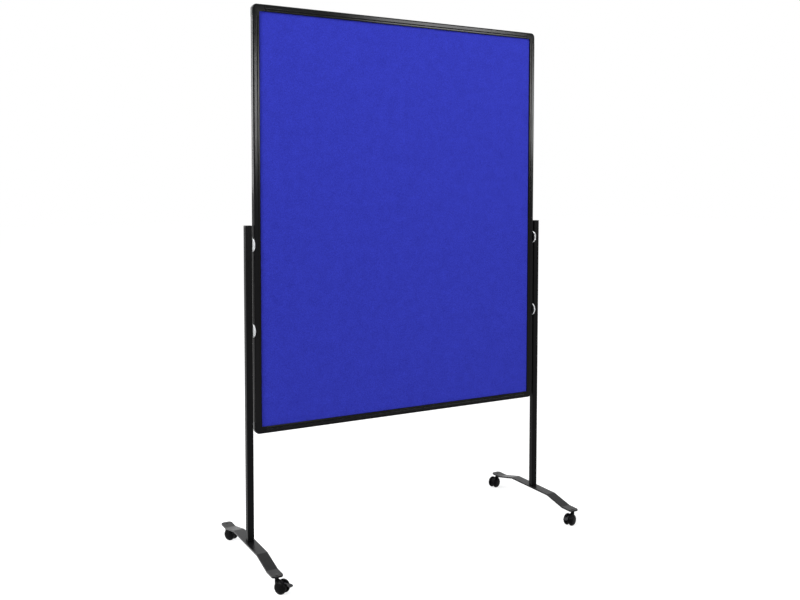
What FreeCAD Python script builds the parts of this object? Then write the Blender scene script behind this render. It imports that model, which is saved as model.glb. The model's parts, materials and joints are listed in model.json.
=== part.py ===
import FreeCAD, Part
import math
import os

# Mobile presentation pinboard: a felt-covered board in a slim frame, held between two posts.
# Millimetres. X runs along the board, -Y is the front, Z is up and the floor is Z = 0.
# Each post stands on an arched flat bar with two twin-wheel casters under its ends.
# Four clamp wheels in the gaps beside the board hold it at its height on the posts.

Vector = FreeCAD.Vector
Placement = FreeCAD.Placement
Rotation = FreeCAD.Rotation
X_AXIS = Vector(1, 0, 0)
Y_AXIS = Vector(0, 1, 0)
Z_AXIS = Vector(0, 0, 1)

# Board
BOARD_W = 1200.0            # outer width over the frame
BOARD_H = 1500.0            # outer height over the frame
BOARD_BOTTOM = 460.0        # lower edge above the floor
CORE_T = 12.0               # fibreboard core
FELT_T = 2.0                # felt where it is free
FELT_PINCHED_T = 1.6        # felt where the lip presses on it
LIP_STEP = 5.5              # how far the frame's face stands proud of the felt
PANEL_GRIP = 12.0           # how far the panel reaches under the lip
PANEL_PLAY = 0.5            # room between the panel's edge and the frame
FELT_PLAY = 0.1             # room between the pinched felt and the lip
FIELD_PLAY = 0.3            # room between the free felt and the lip's edge

# Frame section
FACE_W = 25.0               # width of the frame's face
FACE_CROWN = 0.8            # rise of the face's middle above its edges
CROWN_FLATS = 3             # flats that make up the crowned face
OUTER_R = 5.0               # rounding of the frame's outer edges
OUTER_FLATS = 3             # flats that make up that rounding
LIP_BEVEL = 1.2             # bevel of the lip's edge at the felt
RAIL_WALL = 2.5             # outer wall of a rail
CHANNEL_W = 20.0            # inside width of the channel in a rail
CHANNEL_D = 7.5             # inside depth of that channel
SLOT_W = 6.8                # mouth of the channel on the two side rails
CORNER_R = 17.0             # outer radius of the board's corners
CORNER_FLAT_COUNT = 5       # flats that make up that radius
CORNER_ARM = 42.0           # length of a corner piece along each edge
SPIGOT_L = 30.0             # corner spigot inside a rail
SPIGOT_PLAY = 0.15          # room round that spigot
SPIGOT_LEAD = 1.5           # chamfer at its tip

# Posts
POST_W = 24.0               # square tube
POST_WALL = 1.5
POST_R = 3.0                # tube's outer corner radius
POST_FLAT_COUNT = 3         # flats that make up each rounded corner
POST_GAP = 6.5              # between the post and the board's edge
POST_TOP = 1196.0           # top of the cap above the floor
CAP_T = 2.5                 # plate of the cap above the tube
CAP_CHAMFER = 1.0
CAP_PLUG_L = 12.0           # cap's skirt inside the tube
CAP_PLUG_WALL = 1.6
PLUG_L = 25.0               # steel block in the tube's foot
PLUG_PLAY = 0.1             # room round the caps and blocks in the tube

# Feet
FOOT_W = 40.0               # flat bar
FOOT_T = 6.0
FOOT_HALF = 279.0           # from the post to either tip
FOOT_PLATEAU = 124.0        # from the post to the end of the raised middle
FOOT_BEND = 221.0           # from the post to the start of the low end
PLATEAU_Z = 79.5            # top of the raised middle
END_Z = 58.0                # top of the low ends
BEND_R = 20.0               # inside radius of the bends
FOOT_TIP_R = 12.0           # corner radius of the tips
BOLT_D = 8.0                # bolt that holds the post, from under the bar
BOLT_HEAD_AF = 13.0         # its hexagon head across the flats
BOLT_HEAD_T = 5.3
BOLT_L = 28.0
BOLT_PLAY = 0.1             # room round the bolt

# Clamps
CLAMP_Z = (827.0, 1128.0)   # heights of the lower and upper clamps
STUD_D = 6.0
STUD_PLAY = 0.05            # room round the stud in what turns or sits on it
STUD_HEAD_AF = 10.0         # hexagon head inside the tube, across its flats
STUD_HEAD_T = 3.0
CLAMP_D = 48.0              # clamp wheel
CLAMP_TEETH = 30            # serrations round its rim
CLAMP_TOOTH = 1.2           # their depth
CLAMP_RAIL_PLAY = 0.2       # between the clamp wheel and the rail
CLAMP_POST_PLAY = 0.3       # between the clamp wheel and the post
NUT_T = 6.0                 # slide nut in the rail's channel
NUT_L = 24.0
NUT_PLAY = 0.4              # room beside the nut in the channel
NUT_LIP_PLAY = 0.2          # room between the nut and the channel's lips
NUT_CHAMFER = 1.5

# Casters
CASTER_INSET = 15.0         # stem from the bar's tip
CASTER_TRAIL = 22.0         # axle behind the stem
WHEEL_R = 22.5
WHEEL_T = 13.5
WHEEL_INNER = 7.6           # from the caster's mid-plane to a wheel
WHEEL_SIDES = 36            # flats round the tread
WHEEL_TREAD = 6.5           # width of the tread
WHEEL_FACE_R = 14.0         # flat middle of the domed outer face
WHEEL_DOME_FLATS = 2        # bands between the tread and that middle
AXLE_D = 6.0
AXLE_PLAY = 0.05            # running fit of the wheels
AXLE_SEAT_PLAY = 0.02       # seat of the axle in the housing
AXLE_DEPTH = 9.0            # axle inside a wheel
AXLE_END_PLAY = 0.5
STEM_D = 8.0                # swivel pin
STEM_PLAY = 0.05            # running fit of the swivel pin
STEM_PIN_L = 22.0
STEM_SHANK_D = 10.0         # shank screwed into the bar
SHANK_PLAY = 0.05           # room round it there
STEM_COLLAR_AF = 13.0       # hexagon collar under the bar, across its flats
STEM_COLLAR_T = 3.2
STEM_PROUD = 1.2            # end of the shank above the bar
STEM_END_PLAY = 1.0         # below the pin in its socket
SWIVEL_PLAY = 0.3           # between collar and housing
BOSS_R = 7.0                # swivel socket of the housing
BOSS_SIDES = 20             # flats round it
NECK_R = 6.2                # top of that socket
NECK_L = 5.0                # its taper
BOSS_FLOOR = 14.0           # underside of the socket above the floor
WEB_DROP = 2.0              # the web's front corner below the socket
WEB_R = 3.5                 # rounding of that corner
BODY_R = 19.0               # round body of the housing about the axle
BODY_SIDES = 32             # flats round it
BODY_HALF = 6.0             # half its width
WEB_HALF = 5.0              # half the width of the web that joins it to the socket
SWIVEL_DEG = {              # how each caster trails, counted from +X about Z
    "front_left": -60.0,
    "rear_left": -62.0,
    "front_right": -158.0,
    "rear_right": -158.0,
}

# Brake pedals of the two front casters
BRAKED = ("front_left", "front_right")
PEDAL_X = 11.0              # pivot behind the axle
PEDAL_Z = 12.0              # pivot above the axle
PEDAL_PIN_D = 3.0
PEDAL_PIN_PLAY = 0.05       # running fit of the pedal's pin
PEDAL_PIN_HALF = 5.8
PEDAL_BARREL_R = 3.4
PEDAL_BARREL_SIDES = 12
PEDAL_WAIST = 0.5           # the arm's step in from the barrel
PEDAL_ARM_HALF = 3.4        # half width between the housing's cheeks
PEDAL_SLOT_PLAY = 0.4       # room beside the arm
PEDAL_SLOT_FLOOR = 6.0      # notch below the pivot
PEDAL_SLOT_FRONT = 5.0      # notch before the pivot
PEDAL_TIP = 41.0            # tip of the paddle behind the axle
PEDAL_PADDLE_L = 16.0
PEDAL_PADDLE_HALF = 9.0
PEDAL_T = 3.6
PEDAL_RISE = 2.0            # paddle above the pivot
PEDAL_TIP_DROP = 2.5        # paddle's tip below its root
PEDAL_BEND_R = 9.0          # bend at the paddle's root
PEDAL_TIP_R = 5.0           # corner radius of the paddle
PEDAL_NECK_L = 2.0          # where the arm widens to the paddle

# Sizes that follow from the above
FRAME_T = CORE_T + 2 * (FELT_T + LIP_STEP)
FACE_EDGE = FRAME_T / 2 - FACE_CROWN
GROOVE_HALF = CORE_T / 2 + FELT_PINCHED_T + FELT_PLAY
GROOVE_U = FACE_W - PANEL_GRIP - PANEL_PLAY
BOARD_TOP = BOARD_BOTTOM + BOARD_H
BOARD_MID = BOARD_BOTTOM + BOARD_H / 2
POST_X = BOARD_W / 2 + POST_GAP + POST_W / 2
POST_BORE = POST_W - 2 * POST_WALL
CASTER_Y = FOOT_HALF - CASTER_INSET
END_UNDER = END_Z - FOOT_T
NECK_TOP = END_UNDER - STEM_COLLAR_T - SWIVEL_PLAY
BIG = 4 * BOARD_H           # larger than anything here


def save(shape, name):
    """Writes one piece to its own file."""
    shape.exportStep(os.path.join("parts", name + ".step"))


def placed(shape, place):
    """The shape moved from its maker's position to its place on the object."""
    shape.Placement = place.multiply(shape.Placement)
    return shape


def box(x0, x1, y0, y1, z0, z1):
    """Box between two corners."""
    return Part.makeBox(x1 - x0, y1 - y0, z1 - z0, Vector(x0, y0, z0))


def rod(diameter, start, end):
    """Cylinder from one point to another."""
    way = end - start
    return Part.makeCylinder(diameter / 2, way.Length, start, way)


def rounded_wire(corners):
    """Closed outline through (x, y, radius) corners in the XY plane, each rounded by a tangent arc."""
    ends = []
    count = len(corners)
    for i, (x, y, radius) in enumerate(corners):
        here = Vector(x, y, 0)
        before = Vector(*corners[i - 1][:2], 0) - here
        after = Vector(*corners[(i + 1) % count][:2], 0) - here
        if radius == 0:
            ends.append((here, None, here))
            continue
        half = before.getAngle(after) / 2
        run = radius / math.tan(half)
        middle_way = (before.normalize() + after.normalize()).normalize()
        middle = here + middle_way * (radius / math.sin(half) - radius)
        ends.append((here + before * run, middle, here + after * run))
    edges = []
    for i, (start, middle, end) in enumerate(ends):
        if middle is not None:
            edges.append(Part.Arc(start, middle, end).toShape())
        following = ends[(i + 1) % count][0]
        if end.distanceToPoint(following) > 1e-6:
            edges.append(Part.LineSegment(end, following).toShape())
    return Part.Wire(edges)


def rounded_prism(corners, depth):
    """Rounded outline in the XY plane, raised by depth along Z."""
    return Part.Face(rounded_wire(corners)).extrude(Vector(0, 0, depth))


def upright(shape, y0):
    """Turns a prism drawn in XY so that its outline lies in XZ and it fills from y0 towards +Y."""
    stood = shape.copy()
    stood.rotate(Vector(0, 0, 0), X_AXIS, 90)
    stood.translate(Vector(0, y0 + shape.BoundBox.ZLength, 0))
    return stood


def square_prism(width, radius, z0, z1):
    """Upright square bar centred on the Z axis, each rounded corner made of flats."""
    inner = width / 2 - radius
    steps = POST_FLAT_COUNT if radius > 0 else 0
    outline = []
    for x, y, start in ((1, 1, 0), (-1, 1, 90), (-1, -1, 180), (1, -1, 270)):
        for i in range(steps + 1):
            angle = math.radians(start + 90 * i / max(steps, 1))
            outline.append((x * inner + radius * math.cos(angle), y * inner + radius * math.sin(angle), 0))
    prism = rounded_prism(outline, z1 - z0)
    prism.translate(Vector(0, 0, z0))
    return prism


def ring(radius, sides, height):
    """Corners of a level regular polygon about the Z axis."""
    turn = 2 * math.pi / sides
    return [Vector(radius * math.cos(k * turn), radius * math.sin(k * turn), height) for k in range(sides)]


def flat_face(corners):
    """Flat face through its corners."""
    return Part.Face(Part.makePolygon(corners + corners[:1]))


def skinned(rings):
    """Solid of flats between successive rings of as many corners, closed by its first and last ring."""
    faces = [flat_face(rings[0]), flat_face(rings[-1])]
    for low, high in zip(rings, rings[1:]):
        for k in range(len(low)):
            quad = [low[k - 1], low[k], high[k], high[k - 1]]
            corners = [point for i, point in enumerate(quad) if not point.isEqual(quad[i - 1], 1e-6)]
            if len(corners) > 2:
                faces.append(flat_face(corners))
    shell = Part.makeShell(faces)
    shell.sewShape()
    solid = Part.makeSolid(shell)
    if solid.Volume < 0:
        solid.reverse()
    return solid


def many_sided(radius, sides, start, end):
    """Regular prism from one point to another."""
    way = end - start
    prism = skinned([ring(radius, sides, 0), ring(radius, sides, way.Length)])
    prism.Placement = Placement(start, Rotation(Z_AXIS, way))
    return prism


def hexagon(across_flats, start, end):
    """Hexagonal bar from one point to another."""
    return many_sided(across_flats / math.sqrt(3), 6, start, end)


def crown(u):
    """Half thickness of the frame's crowned face at a distance from the outer edge."""
    half_chord = (FACE_W - LIP_BEVEL - OUTER_R) / 2
    radius = (half_chord ** 2 + FACE_CROWN ** 2) / (2 * FACE_CROWN)
    offset = u - OUTER_R - half_chord
    return FRAME_T / 2 - radius + math.sqrt(radius ** 2 - offset ** 2)


def frame_half(u_end):
    """Corners of half the frame's section as (distance from the outer edge, half thickness), out to u_end."""
    corners = []
    for i in range(OUTER_FLATS):
        angle = i * math.pi / 2 / OUTER_FLATS
        corners.append((OUTER_R * (1 - math.cos(angle)), FACE_EDGE - OUTER_R * (1 - math.sin(angle))))
    for i in range(CROWN_FLATS + 1):
        u = OUTER_R + i * (FACE_W - LIP_BEVEL - OUTER_R) / CROWN_FLATS
        corners.append((u, crown(u)))
    corners.append((FACE_W, FACE_EDGE - LIP_BEVEL))
    kept = [corner for corner in corners if corner[0] <= u_end]
    if len(kept) < len(corners):
        (u0, t0), (u1, t1) = corners[len(kept) - 1:len(kept) + 1]
        kept.append((u_end, t0 + (t1 - t0) * (u_end - u0) / (u1 - u0)))
    return kept


def frame_face():
    """Section of the frame, with X as the distance in from its outer edge and Y as the thickness."""
    half = frame_half(FACE_W)
    return flat_face([Vector(u, -t, 0) for u, t in half] + [Vector(u, t, 0) for u, t in reversed(half)])


def frame_bend():
    """Outer part of the frame's section carried a quarter turn round the corner, in flats."""
    half = frame_half(CORNER_R)
    section = [(u, -t) for u, t in half] + [(u, t) for u, t in reversed(half)]
    rings = []
    for i in range(CORNER_FLAT_COUNT + 1):
        angle = i * math.pi / 2 / CORNER_FLAT_COUNT
        across, along = math.cos(angle), math.sin(angle)
        arms = [(CORNER_R - u, t) for u, t in section]
        rings.append([Vector(CORNER_R - arm * across, t, CORNER_R - arm * along) for arm, t in arms])
    return skinned(rings)


def make_rail(length, slotted):
    """Frame rail standing along Z: panel groove on its inner side, channel inside, slotted or closed."""
    rail = frame_face().extrude(Vector(0, 0, length))
    groove = box(GROOVE_U, BIG, -GROOVE_HALF, GROOVE_HALF, -BIG, BIG)
    channel = box(RAIL_WALL, RAIL_WALL + CHANNEL_D, -CHANNEL_W / 2, CHANNEL_W / 2, -BIG, BIG)
    rail = rail.cut(groove).cut(channel)
    if slotted:
        rail = rail.cut(box(-BIG, RAIL_WALL + CHANNEL_D, -SLOT_W / 2, SLOT_W / 2, -BIG, BIG))
    return rail.removeSplitter()


def make_corner():
    """Moulded corner at the origin, with arms along +X and +Z and a spigot for each rail."""
    upright_arm = frame_face().extrude(Vector(0, 0, CORNER_ARM - CORNER_R))
    upright_arm.translate(Vector(0, 0, CORNER_R))
    spigot = Part.makeBox(
        CHANNEL_D - 2 * SPIGOT_PLAY,
        CHANNEL_W - 2 * SPIGOT_PLAY,
        SPIGOT_L + SPIGOT_LEAD,
        Vector(RAIL_WALL + SPIGOT_PLAY, SPIGOT_PLAY - CHANNEL_W / 2, CORNER_ARM - SPIGOT_LEAD),
    )
    tip = [edge for edge in spigot.Edges if edge.BoundBox.ZMin > CORNER_ARM]
    spigot = spigot.makeChamfer(SPIGOT_LEAD, tip)
    lying_arm = upright_arm.mirror(Vector(0, 0, 0), Vector(1, 0, -1))
    lying_spigot = spigot.mirror(Vector(0, 0, 0), Vector(1, 0, -1))
    corner = upright_arm.multiFuse([lying_arm, frame_bend()])
    pocket = box(GROOVE_U, BIG, -GROOVE_HALF, GROOVE_HALF, GROOVE_U, BIG)
    return corner.cut(pocket).multiFuse([spigot, lying_spigot]).removeSplitter()


def make_felt(side):
    """Felt sheet on the front (side -1) or rear (side +1) of the core, thinner where the lip pinches it."""
    reach = FACE_W - PANEL_GRIP
    field = FACE_W + FIELD_PLAY
    layers = []
    for inset, thickness in ((reach, FELT_PINCHED_T), (field, FELT_T)):
        near, far = sorted((side * CORE_T / 2, side * (CORE_T / 2 + thickness)))
        half = BOARD_W / 2 - inset
        layers.append(box(-half, half, near, far, BOARD_BOTTOM + inset, BOARD_TOP - inset))
    return layers[0].fuse(layers[1]).removeSplitter()


def build_board():
    """Frame rails, corners, core and felts."""
    side_l = BOARD_H - 2 * CORNER_ARM
    cross_l = BOARD_W - 2 * CORNER_ARM
    low = BOARD_BOTTOM + CORNER_ARM
    rails = {
        "left_rail": (side_l, True, Vector(-BOARD_W / 2, 0, low), Rotation()),
        "right_rail": (side_l, True, Vector(BOARD_W / 2, 0, low), Rotation(Z_AXIS, 180)),
        "bottom_rail": (cross_l, False, Vector(cross_l / 2, 0, BOARD_BOTTOM), Rotation(Y_AXIS, -90)),
        "top_rail": (cross_l, False, Vector(-cross_l / 2, 0, BOARD_TOP), Rotation(Y_AXIS, 90)),
    }
    for name, (length, slotted, place, turn) in rails.items():
        rail = make_rail(length, slotted)
        rail.Placement = Placement(place, turn)
        save(rail, name)
    corner = make_corner()
    corners = {
        "bottom_left_corner": (-1, BOARD_BOTTOM, 0),
        "bottom_right_corner": (1, BOARD_BOTTOM, -90),
        "top_right_corner": (1, BOARD_TOP, 180),
        "top_left_corner": (-1, BOARD_TOP, 90),
    }
    for name, (side, height, degrees) in corners.items():
        piece = corner.copy()
        piece.Placement = Placement(Vector(side * BOARD_W / 2, 0, height), Rotation(Y_AXIS, degrees))
        save(piece, name)
    reach = BOARD_W / 2 - FACE_W + PANEL_GRIP
    edge = FACE_W - PANEL_GRIP
    core = box(-reach, reach, -CORE_T / 2, CORE_T / 2, BOARD_BOTTOM + edge, BOARD_TOP - edge)
    save(core, "core_panel")
    save(make_felt(-1), "front_felt")
    save(make_felt(1), "rear_felt")


def make_post():
    """Square tube with a hole for each stud in its inner wall, which faces +X."""
    tube = square_prism(POST_W, POST_R, PLATEAU_Z, POST_TOP - CAP_T)
    tube = tube.cut(square_prism(POST_BORE, POST_R - POST_WALL, 0, BIG))
    for height in CLAMP_Z:
        hole = rod(STUD_D + 2 * STUD_PLAY, Vector(0, 0, height), Vector(POST_W, 0, height))
        tube = tube.cut(hole)
    return tube


def make_cap():
    """Moulded cap with a hollow skirt that plugs the tube."""
    plate = square_prism(POST_W, POST_R, POST_TOP - CAP_T, POST_TOP)
    rim = [edge for edge in plate.Edges if edge.BoundBox.ZMin > POST_TOP - CAP_T / 2]
    plate = plate.makeChamfer(CAP_CHAMFER, rim)
    outer = POST_BORE - 2 * PLUG_PLAY
    radius = POST_R - POST_WALL
    below = POST_TOP - CAP_T - CAP_PLUG_L
    skirt = square_prism(outer, radius, below, POST_TOP - CAP_T)
    hollow = square_prism(outer - 2 * CAP_PLUG_WALL, 0, below, POST_TOP - CAP_T)
    return plate.fuse(skirt.cut(hollow)).removeSplitter()


def make_plug():
    """Steel block welded into the tube's foot, bored for the bolt."""
    block = square_prism(POST_BORE - 2 * PLUG_PLAY, POST_R - POST_WALL, PLATEAU_Z, PLATEAU_Z + PLUG_L)
    return block.cut(rod(BOLT_D + 2 * BOLT_PLAY, Vector(0, 0, 0), Vector(0, 0, BIG)))


def make_bolt():
    """Hexagon bolt from under the bar into the block."""
    under = Vector(0, 0, PLATEAU_Z - FOOT_T)
    head = hexagon(BOLT_HEAD_AF, under - Z_AXIS * BOLT_HEAD_T, under)
    return head.fuse(rod(BOLT_D, under, under + Z_AXIS * BOLT_L))


def make_foot():
    """Flat bar bent down twice towards each end, with rounded tips and its holes."""
    angle = math.atan2(PLATEAU_Z - END_Z, FOOT_BEND - FOOT_PLATEAU)
    shift = FOOT_T * math.tan(angle / 2)
    inside = BEND_R
    outside = BEND_R + FOOT_T
    above = [(-FOOT_HALF, END_Z, 0), (-FOOT_BEND, END_Z, inside), (-FOOT_PLATEAU, PLATEAU_Z, outside)]
    below = [
        (-FOOT_HALF, END_Z - FOOT_T, 0),
        (shift - FOOT_BEND, END_Z - FOOT_T, outside),
        (shift - FOOT_PLATEAU, PLATEAU_Z - FOOT_T, inside),
    ]
    outline = above + [(-y, z, r) for y, z, r in reversed(above)]
    outline += [(-y, z, r) for y, z, r in below] + list(reversed(below))
    bar = upright(rounded_prism(outline, FOOT_W), -FOOT_W / 2)
    bar.rotate(Vector(0, 0, 0), Z_AXIS, 90)
    half = FOOT_W / 2
    plan = [(s * half, t * FOOT_HALF, FOOT_TIP_R) for s, t in ((-1, -1), (1, -1), (1, 1), (-1, 1))]
    bar = bar.common(rounded_prism(plan, PLATEAU_Z + FOOT_T))
    bar = bar.cut(rod(BOLT_D + 2 * BOLT_PLAY, Vector(0, 0, 0), Vector(0, 0, BIG)))
    for side in (-1, 1):
        at = Vector(0, side * CASTER_Y, 0)
        bar = bar.cut(rod(STEM_SHANK_D + 2 * SHANK_PLAY, at, at + Z_AXIS * PLATEAU_Z))
    return bar


def make_stud(height):
    """Stud along +X from its hexagon head inside the tube to the far side of the slide nut."""
    wall = POST_BORE / 2
    end = POST_W / 2 + POST_GAP + RAIL_WALL + NUT_LIP_PLAY + NUT_T
    head = hexagon(STUD_HEAD_AF, Vector(wall - STUD_HEAD_T, 0, height), Vector(wall, 0, height))
    return head.fuse(rod(STUD_D, Vector(wall, 0, height), Vector(end, 0, height)))


def make_nut(height):
    """Slide nut that travels in the side rail's channel."""
    near = POST_W / 2 + POST_GAP + RAIL_WALL + NUT_LIP_PLAY
    half = CHANNEL_W / 2 - NUT_PLAY
    nut = box(near, near + NUT_T, -half, half, height - NUT_L / 2, height + NUT_L / 2)
    sides = [edge for edge in nut.Edges if edge.BoundBox.XLength > NUT_T / 2]
    nut = nut.makeChamfer(NUT_CHAMFER, sides)
    return nut.cut(rod(STUD_D + 2 * STUD_PLAY, Vector(0, 0, height), Vector(BOARD_W, 0, height)))


def make_clamp_wheel(height):
    """Wheel with a serrated rim on the stud, between the post and the side rail."""
    near = POST_W / 2 + CLAMP_POST_PLAY
    thick = POST_GAP - CLAMP_POST_PLAY - CLAMP_RAIL_PLAY
    outline = []
    for i in range(2 * CLAMP_TEETH):
        angle = i * math.pi / CLAMP_TEETH
        radius = CLAMP_D / 2 - (i % 2) * CLAMP_TOOTH
        outline.append((radius * math.cos(angle), radius * math.sin(angle), 0))
    wheel = rounded_prism(outline, thick)
    wheel = wheel.cut(rod(STUD_D + 2 * STUD_PLAY, Vector(0, 0, 0), Vector(0, 0, thick)))
    wheel.Placement = Placement(Vector(near, 0, height), Rotation(Z_AXIS, X_AXIS))
    return wheel


def build_stand():
    """Posts, caps, blocks, bolts, feet and the clamps on both sides."""
    studs = []
    nuts = []
    bolts = []
    for name, side in (("left", -1), ("right", 1)):
        turn = Rotation() if side < 0 else Rotation(Z_AXIS, 180)
        place = Placement(Vector(side * POST_X, 0, 0), turn)
        pieces = {
            name + "_post": make_post(),
            name + "_post_cap": make_cap(),
            name + "_post_plug": make_plug(),
            name + "_foot": make_foot(),
        }
        for level, height in zip(("lower", "upper"), CLAMP_Z):
            pieces[level + "_" + name + "_clamp_wheel"] = make_clamp_wheel(height)
            studs.append(placed(make_stud(height), place))
            nuts.append(placed(make_nut(height), place))
        bolts.append(placed(make_bolt(), place))
        for piece_name, piece in pieces.items():
            save(placed(piece, place), piece_name)
    save(Part.makeCompound(studs), "clamp_studs")
    save(Part.makeCompound(nuts), "slide_nuts")
    save(Part.makeCompound(bolts), "foot_bolts")


def make_stem():
    """Swivel pin, hexagon collar and shank of a caster, screwed into the bar from below."""
    collar_low = Vector(0, 0, END_UNDER - STEM_COLLAR_T)
    under = Vector(0, 0, END_UNDER)
    pin = rod(STEM_D, collar_low - Z_AXIS * STEM_PIN_L, collar_low)
    collar = hexagon(STEM_COLLAR_AF, collar_low, under)
    shank = rod(STEM_SHANK_D, under, under + Z_AXIS * (FOOT_T + STEM_PROUD))
    return pin.multiFuse([collar, shank])


def make_housing(braked):
    """Caster body between the wheels: a swivel socket at the origin and a round web about the axle."""
    axle_at = Vector(CASTER_TRAIL, 0, WHEEL_R)
    neck_low = NECK_TOP - NECK_L
    web_points = [
        (-BOSS_R, BOSS_FLOOR - WEB_DROP, WEB_R),
        (CASTER_TRAIL, WHEEL_R - BODY_R, 0),
        (CASTER_TRAIL, WHEEL_R + BODY_R, 0),
        (BOSS_R, neck_low, 0),
        (-BOSS_R, neck_low, 0),
    ]
    web = upright(rounded_prism(web_points, 2 * WEB_HALF), -WEB_HALF)
    half = Y_AXIS * BODY_HALF
    body = many_sided(BODY_R, BODY_SIDES, axle_at - half, axle_at + half)
    profile = ((BOSS_R, BOSS_FLOOR), (BOSS_R, neck_low), (NECK_R, NECK_TOP))
    boss = skinned([ring(radius, BOSS_SIDES, height) for radius, height in profile])
    housing = web.multiFuse([body, boss]).removeSplitter()
    socket_floor = END_UNDER - STEM_COLLAR_T - STEM_PIN_L - STEM_END_PLAY
    housing = housing.cut(rod(STEM_D + 2 * STEM_PLAY, Vector(0, 0, socket_floor), Vector(0, 0, BIG)))
    housing = housing.cut(rod(AXLE_D + 2 * AXLE_SEAT_PLAY, axle_at - half * 2, axle_at + half * 2))
    if braked:
        pivot = axle_at + Vector(PEDAL_X, 0, PEDAL_Z)
        slot = PEDAL_ARM_HALF + PEDAL_SLOT_PLAY
        notch_floor = pivot.z - PEDAL_SLOT_FLOOR
        housing = housing.cut(box(pivot.x - PEDAL_SLOT_FRONT, BIG, -slot, slot, notch_floor, BIG))
        pin = PEDAL_PIN_D + 2 * PEDAL_PIN_PLAY
        housing = housing.cut(rod(pin, pivot - half * 2, pivot + half * 2))
    return housing


def make_wheel():
    """Domed wheel about +Z from its inner face, with a blind bore for the axle."""
    rings = [ring(WHEEL_R, WHEEL_SIDES, 0)]
    for i in range(WHEEL_DOME_FLATS + 1):
        angle = i * math.pi / 2 / WHEEL_DOME_FLATS
        radius = WHEEL_FACE_R + (WHEEL_R - WHEEL_FACE_R) * math.cos(angle)
        height = WHEEL_TREAD + (WHEEL_T - WHEEL_TREAD) * math.sin(angle)
        rings.append(ring(radius, WHEEL_SIDES, height))
    depth = Vector(0, 0, AXLE_DEPTH + AXLE_END_PLAY)
    return skinned(rings).cut(rod(AXLE_D + 2 * AXLE_PLAY, Vector(0, 0, 0), depth))


def make_pedal():
    """Brake pedal on its own pin across the housing's cheeks, with a wide paddle behind the wheels."""
    axle_at = Vector(CASTER_TRAIL, 0, WHEEL_R)
    pivot = axle_at + Vector(PEDAL_X, 0, PEDAL_Z)
    tip = CASTER_TRAIL + PEDAL_TIP
    root = tip - PEDAL_PADDLE_L
    top = pivot.z + PEDAL_RISE
    side_view = [
        (pivot.x, pivot.z - PEDAL_BARREL_R + PEDAL_WAIST, 0),
        (root, top - PEDAL_T, PEDAL_BEND_R),
        (tip, top - PEDAL_T - PEDAL_TIP_DROP, 0),
        (tip, top - PEDAL_TIP_DROP, 0),
        (root, top, PEDAL_BEND_R),
        (pivot.x, pivot.z + PEDAL_BARREL_R - PEDAL_WAIST, 0),
    ]
    width = PEDAL_PADDLE_HALF
    blade = upright(rounded_prism(side_view, 2 * width), -width)
    arm = PEDAL_ARM_HALF
    neck = root + PEDAL_NECK_L
    plan = [
        (0, -arm, 0),
        (root, -arm, 0),
        (neck, -width, 0),
        (tip, -width, PEDAL_TIP_R),
        (tip, width, PEDAL_TIP_R),
        (neck, width, 0),
        (root, arm, 0),
        (0, arm, 0),
    ]
    blade = blade.common(rounded_prism(plan, BIG))
    barrel = many_sided(PEDAL_BARREL_R, PEDAL_BARREL_SIDES, pivot - Y_AXIS * arm, pivot + Y_AXIS * arm)
    pin = rod(PEDAL_PIN_D, pivot - Y_AXIS * PEDAL_PIN_HALF, pivot + Y_AXIS * PEDAL_PIN_HALF)
    return blade.multiFuse([barrel, pin]).removeSplitter()


def build_casters():
    """Stem, housing, axle, two wheels and any brake pedal of each caster, turned as it trails."""
    axle_at = Vector(CASTER_TRAIL, 0, WHEEL_R)
    axle_half = Y_AXIS * (WHEEL_INNER + AXLE_DEPTH)
    stems = []
    for name, degrees in SWIVEL_DEG.items():
        row, side = name.split("_")
        x = -POST_X if side == "left" else POST_X
        y = -CASTER_Y if row == "front" else CASTER_Y
        place = Placement(Vector(x, y, 0), Rotation(Z_AXIS, degrees))
        prefix = name + "_caster_"
        stems.append(placed(make_stem(), place))
        pieces = {
            prefix + "housing": make_housing(name in BRAKED),
            prefix + "axle": rod(AXLE_D, axle_at - axle_half, axle_at + axle_half),
        }
        for wheel_name, way in (("wheel_a", 1), ("wheel_b", -1)):
            wheel = make_wheel()
            hub = axle_at + Y_AXIS * (way * WHEEL_INNER)
            wheel.Placement = Placement(hub, Rotation(Z_AXIS, Y_AXIS * way))
            pieces[prefix + wheel_name] = wheel
        if name in BRAKED:
            pieces[prefix + "pedal"] = make_pedal()
        for piece_name, piece in pieces.items():
            save(placed(piece, place), piece_name)
    save(Part.makeCompound(stems), "caster_stems")


os.makedirs("parts", exist_ok=True)
build_board()
build_stand()
build_casters()
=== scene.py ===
"""Dresses the mobile pinboard: felt board, dark frame, posts on arched feet, clamp wheels and casters.

Lengths are in millimetres where nothing else is said, and MM turns them into metres.
"""
import json
import logging
import math
from dataclasses import dataclass
from enum import Enum

import bmesh
import bpy
from mathutils import Matrix, Vector

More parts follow.
